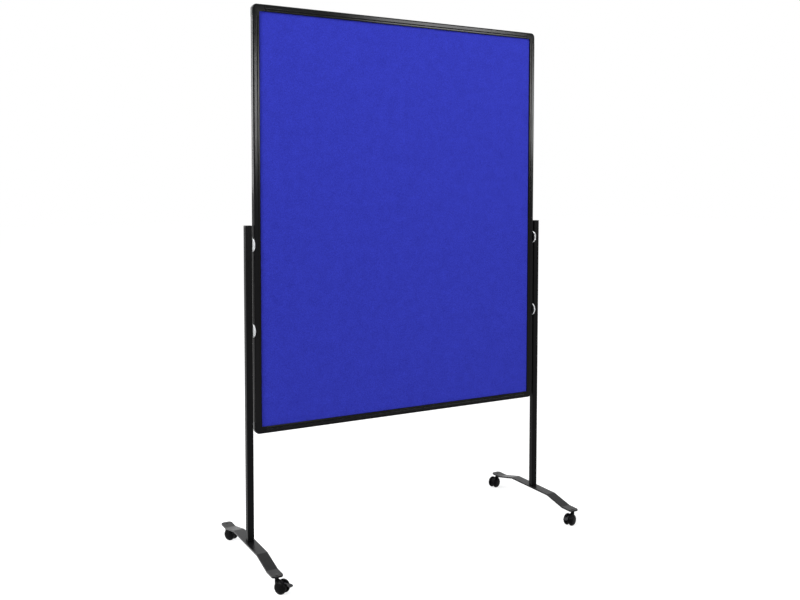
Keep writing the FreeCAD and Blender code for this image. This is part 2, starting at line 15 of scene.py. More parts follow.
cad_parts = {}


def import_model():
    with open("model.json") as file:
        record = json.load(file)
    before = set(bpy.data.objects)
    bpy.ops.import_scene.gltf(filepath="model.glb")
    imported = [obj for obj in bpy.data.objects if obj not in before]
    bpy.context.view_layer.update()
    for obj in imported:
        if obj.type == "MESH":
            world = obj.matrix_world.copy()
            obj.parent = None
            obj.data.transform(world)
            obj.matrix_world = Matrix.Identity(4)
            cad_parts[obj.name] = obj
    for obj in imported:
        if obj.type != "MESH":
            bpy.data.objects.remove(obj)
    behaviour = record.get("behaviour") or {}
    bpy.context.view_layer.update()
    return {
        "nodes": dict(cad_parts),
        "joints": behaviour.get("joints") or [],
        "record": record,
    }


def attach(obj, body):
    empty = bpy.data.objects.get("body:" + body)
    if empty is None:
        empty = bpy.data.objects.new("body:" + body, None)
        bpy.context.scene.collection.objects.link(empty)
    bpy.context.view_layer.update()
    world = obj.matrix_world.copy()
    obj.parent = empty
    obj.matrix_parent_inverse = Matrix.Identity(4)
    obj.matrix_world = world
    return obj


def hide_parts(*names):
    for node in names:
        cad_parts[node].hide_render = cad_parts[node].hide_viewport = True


LOG = logging.getLogger("pinboard")
MM = 0.001
NEAR = 1e-5
PICTURE = (800, 600)
SHARP_FROM = math.radians(38.0)
UPRIGHT = Matrix.Rotation(math.pi / 2, 4, "X")
WHITE = (1.0, 1.0, 1.0, 1.0)
Pair = tuple[float, float]
Triple = tuple[float, float, float]
Colour = Triple
Shape = bmesh.types.BMesh
Vert = bmesh.types.BMVert
Edge = bmesh.types.BMEdge
Socket = bpy.types.NodeSocket
Tree = bpy.types.NodeTree
Material = bpy.types.Material
Object = bpy.types.Object


class Side(Enum):
    """The two stand sides, by their sign along X."""

    LEFT = -1
    RIGHT = 1


class Face(Enum):
    """The two faces of the board, by their turn about Z in degrees."""

    FRONT = 0.0
    REAR = 180.0


class Level(Enum):
    """The two levels of the clamps, by their height."""

    LOWER = 827.0
    UPPER = 1128.0


class Grain(Enum):
    """Which way a drawn or extruded surface is streaked, as noise scales along X, Y and Z."""

    ALONG_X = (2.0, 900.0, 900.0)
    ALONG_Z = (900.0, 900.0, 2.0)
    NONE = (900.0, 900.0, 900.0)


def added(tree: Tree, kind: str, inputs: dict[str | int, object], operation: str = "") -> bpy.types.Node:
    """Adds a node and feeds its inputs.

    Args:
        tree: The node tree.
        kind: The node's type after its common beginning.
        inputs: For each input, the output that is linked to it or the value that is set on it.
        operation: What a mathematical node does.

    Returns:
        The node.
    """
    node = tree.nodes.new("ShaderNode" + kind)
    if operation:
        node.operation = operation
    for key, value in inputs.items():
        if isinstance(value, Socket):
            tree.links.new(value, node.inputs[key])
        else:
            node.inputs[key].default_value = value
    return node


def reckoned(tree: Tree, operation: str, *terms: float | Socket) -> Socket:
    """Result of a Math node on terms in their order."""
    return added(tree, "Math", dict(enumerate(terms)), operation).outputs["Value"]


def ranged(tree: Tree, value: Socket, span: Pair, ends: Pair) -> Socket:
    """Number that goes from one end to the other while a value crosses a span."""
    keys = ("Value", "From Min", "From Max", "To Min", "To Max")
    return added(tree, "MapRange", dict(zip(keys, (value, *span, *ends)))).outputs["Result"]


def even(scale: float) -> Triple:
    """The same number along each axis."""
    return (scale, scale, scale)


def shaded(colour: Colour, factor: float) -> Colour:
    """A darker or lighter tone of a colour."""
    return tuple(factor * part for part in colour)


class Shader:
    """Node tree of one finish round a Principled shader."""

    def __init__(self, name: str) -> None:
        """Starts an empty material.

        Args:
            name: The material's name.
        """
        self.material = bpy.data.materials.new(name)
        self.material.use_nodes = True
        self.tree = self.material.node_tree
        self.tree.nodes.clear()
        self.surface = added(self.tree, "BsdfPrincipled", {})
        added(self.tree, "OutputMaterial", {"Surface": self.surface.outputs["BSDF"]})
        self.coordinates = added(self.tree, "TexCoord", {}).outputs["Object"]

    def set(self, **values: float | Colour) -> None:
        """Sets sockets of the Principled shader, named with underscores for spaces.

        Args:
            values: Socket values; a colour is given as three numbers.
        """
        for key, value in values.items():
            socket = self.surface.inputs[key.replace("_", " ")]
            socket.default_value = (*value, 1.0) if isinstance(value, tuple) else value

    def link(self, socket: Socket, key: str) -> None:
        """Feeds a socket of the Principled shader by its name."""
        self.tree.links.new(socket, self.surface.inputs[key])

    def mapped(self, scale: Triple, centre: Triple = (0.0, 0.0, 0.0)) -> Socket:
        """Object coordinates, centred and stretched.

        Args:
            scale: Factor along each axis.
            centre: Point that becomes the pattern's origin.

        Returns:
            The mapped vector.
        """
        location = tuple(-c * s for c, s in zip(centre, scale))
        inputs = {"Vector": self.coordinates, "Scale": scale, "Location": location}
        return added(self.tree, "Mapping", inputs).outputs["Vector"]

    def noise(self, scale: Triple, detail: float = 3.0, rough: float = 0.5, distort: float = 0.0) -> Socket:
        """Noise on stretched Object coordinates.

        Args:
            scale: Cells per metre along each axis.
            detail: Octaves.
            rough: Weight of the finer octaves.
            distort: Distortion of the pattern.

        Returns:
            The noise value.
        """
        return added(self.tree, "TexNoise", {
            "Vector": self.mapped(scale), "Scale": 1.0, "Detail": detail, "Roughness": rough,
            "Distortion": distort,
        }).outputs["Fac"]

    def rings(self, scale: Triple, centre: Triple) -> Socket:
        """Turning rings about X.

        Args:
            scale: Factor along each axis.
            centre: Where the rings are centred.

        Returns:
            The rings' height.
        """
        inputs = {"Vector": self.mapped(scale, centre), "Scale": 1.0, "Distortion": 0.4}
        rings = added(self.tree, "TexWave", inputs)
        rings.wave_type = "RINGS"
        rings.rings_direction = "X"
        return rings.outputs["Fac"]

    def ramp(self, value: Socket, low: Colour, high: Colour, span: Pair) -> Socket:
        """Colour between two ends.

        Args:
            value: What drives the colour.
            low: Colour at the start of the span.
            high: Colour at its end.
            span: Values at which the two colours are reached.

        Returns:
            The colour.
        """
        ramp = added(self.tree, "ValToRGB", {"Fac": value})
        for element, place, colour in zip(ramp.color_ramp.elements, span, (low, high)):
            element.position = place
            element.color = (*colour, 1.0)
        return ramp.outputs["Color"]

    def spread(self, value: Socket, low: float, high: float, span: Pair = (0.3, 0.7)) -> Socket:
        """Number between two ends, by default over the span that holds most values of a noise."""
        return ranged(self.tree, value, span, (low, high))

    def total(self, first: Socket, second: Socket, share: float) -> Socket:
        """One value plus a share of another."""
        return reckoned(self.tree, "MULTIPLY_ADD", second, share, first)

    def beyond(self, plane: float) -> Socket:
        """One beyond a plane at so many metres along X, and zero elsewhere."""
        parts = added(self.tree, "SeparateXYZ", {"Vector": self.mapped((1.0 / plane, 1.0, 1.0))})
        return reckoned(self.tree, "GREATER_THAN", parts.outputs["X"], 1.0)

    def either(self, share: Socket, base: Colour, other: Socket) -> Socket:
        """A plain colour, or another one where the share is one."""
        inputs = {"Fac": share, "Color1": (*base, 1.0), "Color2": other}
        return added(self.tree, "MixRGB", inputs).outputs["Color"]

    def bump(self, height: Socket, strength: float, depth: float) -> None:
        """Raises the surface by a pattern, with its depth in metres."""
        bump = added(self.tree, "Bump", {"Height": height, "Strength": strength, "Distance": depth})
        self.link(bump.outputs["Normal"], "Normal")


@dataclass(frozen=True)
class FeltFinish:
    """Needled felt: short matted fibres, faint clouds of lighter and darker wool, a soft sheen."""

    name: str = "needled_felt"
    dark: Colour = (0.016, 0.021, 0.32)
    light: Colour = (0.043, 0.055, 0.63)
    sheen: Colour = (0.45, 0.5, 1.0)
    fibre_scale: float = 420.0
    strand_scale: Triple = (1600.0, 400.0, 260.0)
    cloud_scale: float = 26.0
    fibre_share: float = 1.8
    cloud_share: float = 0.3
    shade_span: Pair = (1.2, 1.9)
    strand_rise: float = 0.8
    nap: float = 0.0015

    def material(self) -> Material:
        """Makes the felt's nodes.

        Returns:
            The material.
        """
        shader = Shader(self.name)
        fibre = shader.noise(even(self.fibre_scale), detail=6.0, rough=0.7, distort=0.8)
        strand = shader.noise(self.strand_scale, detail=3.0, rough=0.6, distort=1.2)
        cloud = shader.noise(even(self.cloud_scale), detail=4.0, rough=0.6)
        shade = shader.total(shader.total(strand, fibre, self.fibre_share), cloud, self.cloud_share)
        level = shader.spread(shade, 0.0, 1.0, self.shade_span)
        shader.link(shader.ramp(level, self.dark, self.light, (0.0, 1.0)), "Base Color")
        shader.set(Roughness=0.95, Specular_IOR_Level=0.12)
        shader.set(Sheen_Weight=0.1, Sheen_Roughness=0.6, Sheen_Tint=self.sheen)
        shader.bump(shader.total(fibre, strand, self.strand_rise), strength=0.9, depth=self.nap)
        return shader.material


@dataclass(frozen=True)
class CoatedFinish:
    """Dark coated, anodised or moulded surface with a fine texture and uneven gloss."""

    name: str
    colour: Colour
    roughness: float
    specular: float
    bump: float
    depth: float = 0.00005
    grain: Grain = Grain.NONE
    patch_scale: float = 14.0
    patch_share: float = 0.5
    tones: Pair = (0.85, 1.2)
    gloss: Pair = (0.9, 1.12)

    def material(self) -> Material:
        """Makes the coat's nodes.

        Returns:
            The material.
        """
        shader = Shader(self.name)
        texture = shader.noise(self.grain.value, detail=2.0)
        patch = shader.noise(even(self.patch_scale), detail=3.0, rough=0.6)
        low, high = (shaded(self.colour, tone) for tone in self.tones)
        tone = shader.total(texture, patch, self.patch_share)
        shader.link(shader.ramp(tone, low, high, (0.5, 1.0)), "Base Color")
        shader.link(shader.spread(patch, *(share * self.roughness for share in self.gloss)), "Roughness")
        shader.set(Specular_IOR_Level=self.specular)
        shader.bump(texture, self.bump, self.depth)
        return shader.material


@dataclass(frozen=True)
class MetalFinish:
    """Bright bare or plated metal, with turning rings about X where it has a centre.

    A disc can have painted shade: its side towards the board is painted near-black and non-metallic up to a
    plane across X, where the board shades that face.
    """

    name: str
    colour: Colour
    roughness: float
    centre: Triple | None = None
    metallic: float = 1.0
    # Painted shade: X of the plane up to which the board-facing side is painted dark, zero for none
    painted_shade_edge: float = 0.0
    painted_shade_colour: Colour = (0.012, 0.012, 0.013)
    patch_scale: float = 60.0
    grain_scale: float = 700.0
    dull: float = 0.9
    gloss: Pair = (0.85, 1.2)

    def material(self) -> Material:
        """Makes the metal's nodes.

        Returns:
            The material.
        """
        shader = Shader(self.name)
        patch = shader.noise(even(self.patch_scale), detail=4.0, rough=0.6)
        colour = shader.ramp(patch, shaded(self.colour, self.dull), self.colour, (0.35, 0.65))
        shader.link(shader.spread(patch, *(share * self.roughness for share in self.gloss)), "Roughness")
        # Painted shade: beyond the plane towards the board the disc turns near-black and loses its metal
        if self.painted_shade_edge:
            bare = shader.beyond(self.painted_shade_edge)
            colour = shader.either(bare, self.painted_shade_colour, colour)
            shader.link(shader.spread(bare, 0.0, self.metallic, (0.0, 1.0)), "Metallic")
        else:
            shader.set(Metallic=self.metallic)
        shader.link(colour, "Base Color")
        if self.centre is None:
            shader.bump(shader.noise(even(self.grain_scale)), strength=0.08, depth=0.00005)
        else:
            shader.bump(shader.rings(even(self.grain_scale), self.centre), strength=0.12, depth=0.00006)
        return shader.material


@dataclass(frozen=True)
class CoreFinish:
    """Pressed soft fibreboard under the felt."""

    name: str = "fibre_core"
    dark: Colour = (0.36, 0.27, 0.18)
    light: Colour = (0.52, 0.42, 0.3)
    fibre_scale: float = 220.0

    def material(self) -> Material:
        """Makes the board's nodes.

        Returns:
            The material.
        """
        shader = Shader(self.name)
        fibre = shader.noise(even(self.fibre_scale), detail=5.0, rough=0.7)
        shader.link(shader.ramp(fibre, self.dark, self.light, (0.35, 0.65)), "Base Color")
        shader.set(Roughness=0.9, Specular_IOR_Level=0.2)
        shader.bump(fibre, strength=0.4, depth=0.0004)
        return shader.material


Finish = FeltFinish | CoatedFinish | MetalFinish | CoreFinish
FELT = FeltFinish()
RAIL_UPRIGHT = CoatedFinish("anodised_upright", (0.002, 0.002, 0.0024), 0.16, 0.09, 0.03, grain=Grain.ALONG_Z)
RAIL_LEVEL = CoatedFinish("anodised_level", (0.002, 0.002, 0.0024), 0.16, 0.09, 0.03, grain=Grain.ALONG_X)
CORNER = CoatedFinish("moulded_corner", (0.003, 0.003, 0.0034), 0.36, 0.07, 0.2, 0.0001)
POST_COAT = CoatedFinish("post_coat", (0.0025, 0.0025, 0.0027), 0.3, 0.06, 0.12, 0.00008)
FOOT_COAT = CoatedFinish("foot_coat", (0.003, 0.003, 0.0033), 0.31, 0.16, 0.04, 0.00004)
CAP = CoatedFinish("moulded_cap", (0.003, 0.003, 0.0033), 0.4, 0.08, 0.2, 0.0001)
CASTER = CoatedFinish("moulded_caster", (0.002, 0.002, 0.0022), 0.4, 0.05, 0.2, 0.0001)
WHEEL = CoatedFinish("moulded_wheel", (0.002, 0.002, 0.0022), 0.36, 0.05, 0.15, 0.0001)
PEDAL = CoatedFinish("moulded_pedal", (0.01, 0.01, 0.011), 0.4, 0.25, 0.2, 0.0001)
PLATED = MetalFinish("zinc_plated", (0.62, 0.62, 0.61), 0.3)
BLACKENED = MetalFinish("blackened_steel", (0.05, 0.05, 0.052), 0.35)
CORE = CoreFinish()


def material_of(finish: Finish) -> Material:
    """The finish's material, made on its first use."""
    return bpy.data.materials.get(finish.name) or finish.material()


def moved(x: float, y: float, z: float) -> Matrix:
    """A shift along the three axes."""
    return Matrix.Translation((x * MM, y * MM, z * MM))


def verts_in(geometry: list) -> list[Vert]:
    """The vertices among an operator's results."""
    return [item for item in geometry if isinstance(item, Vert)]


def rise(edge: Edge) -> float:
    """How far an edge climbs along Z, in metres."""
    return abs(edge.verts[0].co.z - edge.verts[1].co.z)


def outward(bm: Shape) -> None:
    """Turns all faces to the outside."""
    bmesh.ops.recalc_face_normals(bm, faces=bm.faces[:])


def cap_face(bm: Shape, way: int) -> bmesh.types.BMFace:
    """The largest face that looks up or down along Z."""
    return max(bm.faces, key=lambda face: face.calc_area() * (face.normal.z * way > 0.9))


def rounded(bm: Shape, edges: list[Edge], radius: float, segments: int) -> None:
    """Rounds edges with a bevel.

    Args:
        bm: The mesh.
        edges: Edges to round.
        radius: Width of the bevel.
        segments: Its steps.
    """
    bmesh.ops.bevel(
        bm, geom=edges, offset=radius * MM, affect="EDGES", segments=segments, profile=0.5,
        material=-1, clamp_overlap=True,
    )


def turned(bm: Shape, profile: list[Pair], steps: int = 64) -> None:
    """Spins a profile of radii and heights about the Z axis.

    Args:
        bm: The mesh that gets it.
        profile: (radius, height) points.
        steps: Steps of the full turn.
    """
    verts = [bm.verts.new((r * MM, 0.0, z * MM)) for r, z in profile]
    edges = [bm.edges.new(pair) for pair in zip(verts, verts[1:])]
    bmesh.ops.spin(
        bm, geom=verts + edges, axis=(0.0, 0.0, 1.0), angle=2 * math.pi, steps=steps, use_merge=True,
    )
    bmesh.ops.remove_doubles(bm, verts=bm.verts[:], dist=1e-6)
    outward(bm)


def rim_rounded(bm: Shape, radius: float, height: float, soft: float, segments: int = 3) -> None:
    """Rounds a ring of a turned shape.

    Args:
        bm: The turned mesh.
        radius: The ring's radius.
        height: Its height.
        soft: Width of the bevel.
        segments: Its steps.
    """
    spot = Vector((radius, height)) * MM
    ring = [
        e for e in bm.edges
        if all((Vector((v.co.xy.length, v.co.z)) - spot).length < NEAR for v in e.verts)
    ]
    rounded(bm, ring, soft, segments)


def joined(shells: list[tuple[Shape, Matrix]]) -> Shape:
    """Brings the shells of one moulding together.

    Args:
        shells: Each shell, which is freed, and where it goes.

    Returns:
        One mesh of all shells.
    """
    whole = bmesh.new()
    for shell, place in shells:
        bmesh.ops.transform(shell, matrix=place, verts=shell.verts[:])
        mesh = bpy.data.meshes.new("shell")
        shell.to_mesh(mesh)
        shell.free()
        whole.from_mesh(mesh)
        bpy.data.meshes.remove(mesh)
    return whole


def rectangle(low: Pair, high: Pair) -> list[Pair]:
    """Outline of a rectangle from its lowest and its highest corner."""
    return [low, (high[0], low[1]), high, (low[0], high[1])]


def slab(outline: list[Pair], low: float, high: float, soft: float = 0.0, corners: float = 0.0) -> Shape:
    """Prism on an outline in XY, with softened rims.

    Args:
        outline: Corners.
        low: Height of its lower face.
        high: Height of its upper face.
        soft: Rounding of the rims.
        corners: Rounding of the upright edges.

    Returns:
        The prism.
    """
    bm = bmesh.new()
    face = bm.faces.new([bm.verts.new((x * MM, y * MM, low * MM)) for x, y in outline])
    grown = bmesh.ops.extrude_face_region(bm, geom=[face])
    bmesh.ops.translate(bm, vec=(0.0, 0.0, (high - low) * MM), verts=verts_in(grown["geom"]))
    outward(bm)
    if corners:
        rounded(bm, [e for e in bm.edges if rise(e) > NEAR], corners, segments=5)
    if soft:
        rounded(bm, [e for e in bm.edges if rise(e) < NEAR], soft, segments=3)
    return bm


def linked(name: str, data: bpy.types.ID) -> Object:
    """Puts a mesh, lamp or camera into the scene.

    Args:
        name: The object's name.
        data: What it shows.

    Returns:
        The object.
    """
    thing = bpy.data.objects.new(name, data)
    bpy.context.scene.collection.objects.link(thing)
    return thing


def made(bm: Shape, name: str, finish: Finish, place: Matrix) -> Object:
    """Turns a bmesh into a piece with its place in its mesh.

    Args:
        bm: The shape, which is freed.
        name: The piece's name.
        finish: Its finish.
        place: Where it goes.

    Returns:
        The piece.
    """
    bmesh.ops.transform(bm, matrix=place, verts=bm.verts[:])
    mesh = bpy.data.meshes.new(name)
    bm.to_mesh(mesh)
    bm.free()
    mesh.shade_smooth()
    mesh.set_sharp_from_angle(angle=SHARP_FROM)
    mesh.materials.append(material_of(finish))
    piece = linked(name, mesh)
    piece.modifiers.new("EvenShading", "WEIGHTED_NORMAL").keep_sharp = True
    return piece


def fitted(piece: Object, node: str, body: str) -> None:
    """Puts a piece in a CAD node's stead.

    Args:
        piece: The piece.
        node: The node that it stands for.
        body: The body that it moves with.
    """
    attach(piece, body)
    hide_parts(node)
    LOG.info("%s stands for %s on %s", piece.name, node, body)


@dataclass
class PinSurface:
    """Felt on both faces of the core, pinched under the frame's lip."""

    width: float = 1174.0
    height: float = 1474.0
    middle_z: float = 1210.0
    core_half: float = 6.0
    pinched: float = 1.6
    free: float = 2.0
    held: float = 12.3
    dip: float = 2.0

    def build(self) -> None:
        """Lays the felt on both faces."""
        for face in Face:
            self.lay(face)

    def lay(self, face: Face) -> None:
        """Makes one felt sheet.

        Args:
            face: The board's face.
        """
        wide, tall = self.width / 2, self.height / 2
        plan = rectangle((-wide, -tall), (wide, tall))
        bm = slab(plan, self.core_half, self.core_half + self.pinched)
        outer = cap_face(bm, 1)
        swell = self.free - self.pinched
        bmesh.ops.inset_region(bm, faces=[outer], thickness=self.held * MM, depth=0.0)
        bmesh.ops.inset_region(bm, faces=[outer], thickness=self.dip * MM, depth=swell * MM)
        turn = Matrix.Rotation(math.radians(face.value), 4, "Z") @ UPRIGHT
        name = face.name.lower() + "_felt"
        piece = made(bm, name + "_sheet", FELT, moved(0.0, 0.0, self.middle_z) @ turn)
        fitted(piece, name, "board")


@dataclass
class BoardFrame:
    """Extruded rails and moulded corners round the board."""

    width: float = 1200.0
    height: float = 1500.0
    bottom: float = 460.0
    face: float = 25.0
    rail_half: float = 13.3
    rail_crown: float = 0.04
    rail_radius: float = 4.8
    crown_from: float = 5.0
    crown_to: float = 15.4
    crown_steps: int = 8
    line_depth: float = 1.1
    land_from: float = 18.2
    land_to: float = 22.8
    land_drop: float = 2.0
    land_radius: float = 0.5
    groove_half: float = 7.7
    groove_from: float = 12.5
    wall: float = 2.5
    channel_half: float = 10.0
    channel_to: float = 10.0
    slot_half: float = 3.4
    corner_arm: float = 42.0
    corner_radius: float = 17.0
    corner_half: float = 12.7
    corner_crown: float = 13.45
    corner_lip: float = 1.2
    corner_slope: float = 5.0
    rim_radius: float = 5.0
    rim_within: float = 5.1

    def build(self) -> None:
        """Makes the four rails and the four corners."""
        level = self.width - 2 * self.corner_arm
        tall = self.height - 2 * self.corner_arm
        low, top = self.bottom, self.bottom + self.height
        half = self.width / 2
        rails = {
            "left_rail": (tall, True, (-half, 0.0, low + self.corner_arm), "Z", 0.0),
            "right_rail": (tall, True, (half, 0.0, low + self.corner_arm), "Z", 180.0),
            "bottom_rail": (level, False, (level / 2, 0.0, low), "Y", -90.0),
            "top_rail": (level, False, (-level / 2, 0.0, top), "Y", 90.0),
        }
        for name, (length, slotted, at, axis, degrees) in rails.items():
            turn = Matrix.Rotation(math.radians(degrees), 4, axis)
            self.rail(name, length, slotted, moved(*at) @ turn)
        corners = {
            "bottom_left_corner": (-half, low, 0.0),
            "bottom_right_corner": (half, low, -90.0),
            "top_right_corner": (half, top, 180.0),
            "top_left_corner": (-half, top, 90.0),
        }
        for name, (x, z, degrees) in corners.items():
            turn = Matrix.Rotation(math.radians(degrees), 4, "Y")
            self.corner(name, moved(x, 0.0, z) @ turn)

    def section(self, slotted: bool) -> list[Pair]:
        """Corners of a rail's section as (distance from the outer edge, thickness).

        Args:
            slotted: Whether the channel opens to the outside.

        Returns:
            The corners in order.
        """
        span = self.crown_to - self.crown_from
        turns = [i / self.crown_steps for i in range(self.crown_steps + 1)]
        crown = [
            (self.crown_from + span * i, self.rail_half + self.rail_crown * math.sin(math.pi * i))
            for i in turns
        ]
        half = [
            (0.0, self.rail_half), *crown,
            ((self.crown_to + self.land_from) / 2, self.rail_half - self.line_depth),
            (self.land_from, self.rail_half), (self.land_to, self.rail_half),
            (self.face, self.rail_half - self.land_drop),
            (self.face, self.groove_half), (self.groove_from, self.groove_half),
        ]
        outline = [(u, -t) for u, t in half] + [(u, t) for u, t in reversed(half)]
        if slotted:
            channel = [
                (0.0, self.slot_half), (self.wall, self.slot_half),
                (self.wall, self.channel_half), (self.channel_to, self.channel_half),
            ]
            outline += channel + [(u, -t) for u, t in reversed(channel)]
        return outline

    def rail(self, name: str, length: float, slotted: bool, place: Matrix) -> None:
        """Extrudes one rail and rounds its long edges.

        Args:
            name: The rail's node.
            length: Its length.
            slotted: Whether its channel opens to the outside.
            place: Where it goes.
        """
        bm = slab(self.section(slotted), 0.0, length)
        long_edges = [e for e in bm.edges if rise(e) > 0.5 * length * MM]

        def at(u: float, t: float) -> list[Edge]:
            """Long edges at one distance and half thickness, front and rear."""
            return [
                e for e in long_edges if e.is_valid
                and abs(e.verts[0].co.x - u * MM) < NEAR and abs(abs(e.verts[0].co.y) - t * MM) < NEAR
            ]

        rounded(bm, at(0.0, self.rail_half), self.rail_radius, segments=6)
        land = at(self.land_to, self.rail_half) + at(self.face, self.rail_half - self.land_drop)
        rounded(bm, land, self.land_radius, segments=2)
        finish = RAIL_UPRIGHT if slotted else RAIL_LEVEL
        fitted(made(bm, name + "_profile", finish, place), name, "board")

    def corner(self, name: str, place: Matrix) -> None:
        """Moulds one corner cap with rounded outer edges and a raised face.

        Args:
            name: The corner's node.
            place: Where it goes.
        """
        reach = self.corner_arm + self.face
        shape = [
            (0.0, 0.0), (reach, 0.0), (reach, self.face),
            (self.face, self.face), (self.face, reach), (0.0, reach),
        ]
        bm = slab(shape, -self.corner_half, self.corner_half)
        outer = [e for e in bm.edges if all(v.co.xy.length < NEAR for v in e.verts)]
        rounded(bm, outer, self.corner_radius, segments=10)
        rim = [
            e for e in bm.edges
            if rise(e) < NEAR
            and all(min(v.co.x, v.co.y) < self.rim_within * MM for v in e.verts)
            and not all(max(v.co.x, v.co.y) > reach * MM - NEAR for v in e.verts)
        ]
        rounded(bm, rim, self.rim_radius, segments=5)
        for way in (-1, 1):
            cap = cap_face(bm, way)
            lift = self.corner_crown - self.corner_half
            bmesh.ops.inset_region(bm, faces=[cap], thickness=self.corner_lip * MM, depth=0.0)
            bmesh.ops.inset_region(bm, faces=[cap], thickness=self.corner_slope * MM, depth=lift * MM)
        for axis in ((1.0, 0.0, 0.0), (0.0, 1.0, 0.0)):
            cut = bmesh.ops.bisect_plane(
                bm, geom=bm.verts[:] + bm.edges[:] + bm.faces[:], plane_no=axis, clear_outer=True,
                plane_co=Vector(axis) * self.corner_arm * MM,
            )
            bmesh.ops.holes_fill(bm, edges=[e for e in cut["geom_cut"] if isinstance(e, Edge)])
        outward(bm)
        fitted(made(bm, name + "_cap", CORNER, place @ UPRIGHT), name, "board")


@dataclass
class StandSide:
    """One side of the stand: square post with its cap on an arched flat bar."""

    side: Side
    post_x: float = 618.5
    post_w: float = 24.0
    post_radius: float = 3.0
    post_rim: float = 0.3
    post_top: float = 1193.5
    cap_t: float = 2.5
    cap_rim: float = 1.0
    foot_w: float = 40.0
    foot_t: float = 6.0
    foot_half: float = 279.0
    foot_bend: float = 221.0
    plateau: float = 124.0
    plateau_z: float = 79.5
    end_z: float = 58.0
    tip_radius: float = 12.0
    bend_radius: float = 2.6
    bend_margin: float = 20.0
    edge_radius: float = 0.7
    edge_angle: float = 1.2

    def build(self) -> None:
        """Makes the post, the cap and the foot."""
        name = self.side.name.lower()
        at = moved(self.side.value * self.post_x, 0.0, 0.0)
        top = self.post_top + self.cap_t
        self.bar(name + "_post", self.plateau_z, self.post_top, self.post_rim, POST_COAT, at)
        self.bar(name + "_post_cap", self.post_top, top, self.cap_rim, CAP, at)
        self.foot(name + "_foot", at)

    def bar(
        self, name: str, low: float, top: float, edge: float, finish: CoatedFinish, place: Matrix,
    ) -> None:
        """Makes a square upright piece with rounded corners.

        Args:
            name: The node that it stands for.
            low: Its lower end.
            top: Its upper end.
            edge: Rounding of its upper rim.
            finish: Its finish.
            place: Where it goes.
        """
        half = self.post_w / 2
        bm = slab(rectangle((-half, -half), (half, half)), low, top, corners=self.post_radius)
        rim = [e for e in bm.edges if all(abs(v.co.z - top * MM) < NEAR for v in e.verts)]
        rounded(bm, rim, edge, segments=3)
        fitted(made(bm, name + "_shell", finish, place), name, "stand")

    def foot(self, name: str, place: Matrix) -> None:
        """Bends the flat bar and rounds its tips.

        Args:
            name: The foot's node.
            place: Where it goes.
        """
        slope = math.atan2(self.plateau_z - self.end_z, self.foot_bend - self.plateau)
        shift = self.foot_t * math.tan(slope / 2)
        above = [
            (-self.foot_half, self.end_z), (-self.foot_bend, self.end_z), (-self.plateau, self.plateau_z),
        ]
        below = [
            (-self.foot_half, self.end_z - self.foot_t),
            (shift - self.foot_bend, self.end_z - self.foot_t),
            (shift - self.plateau, self.plateau_z - self.foot_t),
        ]
        outline = above + [(-y, z) for y, z in above[::-1]] + [(-y, z) for y, z in below] + below[::-1]
        bm = slab(outline, -self.foot_w / 2, self.foot_w / 2)
        # The outline lies in XY; here its X turns to Y and its Y to Z
        turn = Matrix(((0.0, 0.0, 1.0), (1.0, 0.0, 0.0), (0.0, 1.0, 0.0))).to_4x4()
        bmesh.ops.transform(bm, matrix=turn, verts=bm.verts[:])
        low, high = (self.plateau - self.bend_margin) * MM, (self.foot_bend + self.bend_margin) * MM
        bends = [
            e for e in bm.edges
            if abs(e.verts[0].co.x - e.verts[1].co.x) > 0.5 * self.foot_w * MM
            and low < abs(e.verts[0].co.y) < high
        ]
        rounded(bm, bends, self.bend_radius, segments=5)
        tips = [
            e for e in bm.edges
            if all(abs(abs(v.co.y) - self.foot_half * MM) < NEAR for v in e.verts)
            and rise(e) > 0.5 * self.foot_t * MM
        ]
        rounded(bm, tips, self.tip_radius, segments=8)
        sharp = [e for e in bm.edges if len(e.link_faces) == 2 and e.calc_face_angle() > self.edge_angle]
        rounded(bm, sharp, self.edge_radius, segments=2)
        fitted(made(bm, name + "_bar", FOOT_COAT, place), name, "stand")


@dataclass
class ClampWheel:
    """Knurled metal wheel on a stud between a post and the board's side rail."""

    side: Side
    level: Level
    near: float = 606.2
    far: float = 600.2
    radius: float = 24.0
    teeth: int = 60
    tooth: float = 0.7
    chamfer: float = 0.5
    chamfer_drop: float = 0.35
    # Painted shade: how far from the rail-side face the painted shade of the board reaches
    rim_margin: float = 0.1
    painted_shade_edge: float = 0.3
    colour: Colour = (0.6, 0.61, 0.62)
    roughness: float = 0.45
    metallic: float = 0.4

    def build(self) -> None:
        """Makes the wheel with a knurled rim and chamfered edges."""
        bm = bmesh.new()
        segments = 3 * self.teeth
        ring = bmesh.ops.create_circle(bm, cap_ends=True, radius=self.radius * MM, segments=segments)["verts"]
        pull = (self.radius - self.tooth) / self.radius
        bmesh.ops.scale(bm, vec=(pull, pull, 1.0), verts=ring[::3])
        thick = self.near - self.far
        grown = bmesh.ops.extrude_face_region(bm, geom=bm.faces[:])
        bmesh.ops.translate(bm, vec=(0.0, 0.0, thick * MM), verts=verts_in(grown["geom"]))
        outward(bm)
        inside = (self.radius - self.tooth - self.rim_margin) * MM
        for way, height in ((-1, 0.0), (1, thick)):
            bmesh.ops.inset_region(bm, faces=[cap_face(bm, way)], thickness=self.chamfer * MM, depth=0.0)
            rim = [v for v in bm.verts if v.co.xy.length > inside and abs(v.co.z - height * MM) < NEAR]
            bmesh.ops.translate(bm, vec=(0.0, 0.0, -way * self.chamfer_drop * MM), verts=rim)
        sign, height = self.side.value, self.level.value
        node = f"{self.level.name}_{self.side.name}_clamp_wheel".lower()
        centre = (sign * (self.near + self.far) / 2 * MM, 0.0, height * MM)
        stood = Matrix.Rotation(math.pi / 2 * sign, 4, "Y")
        place = moved(sign * self.far, 0.0, height) @ stood
        # Painted shade on the wheel's face towards the board, up to this plane
        painted_shade_edge = sign * (self.far + self.painted_shade_edge) * MM
        finish = MetalFinish("turned_" + node, self.colour, self.roughness, centre, self.metallic, painted_shade_edge)
        fitted(made(bm, node + "_disc", finish, place), node, node.replace("_wheel", ""))


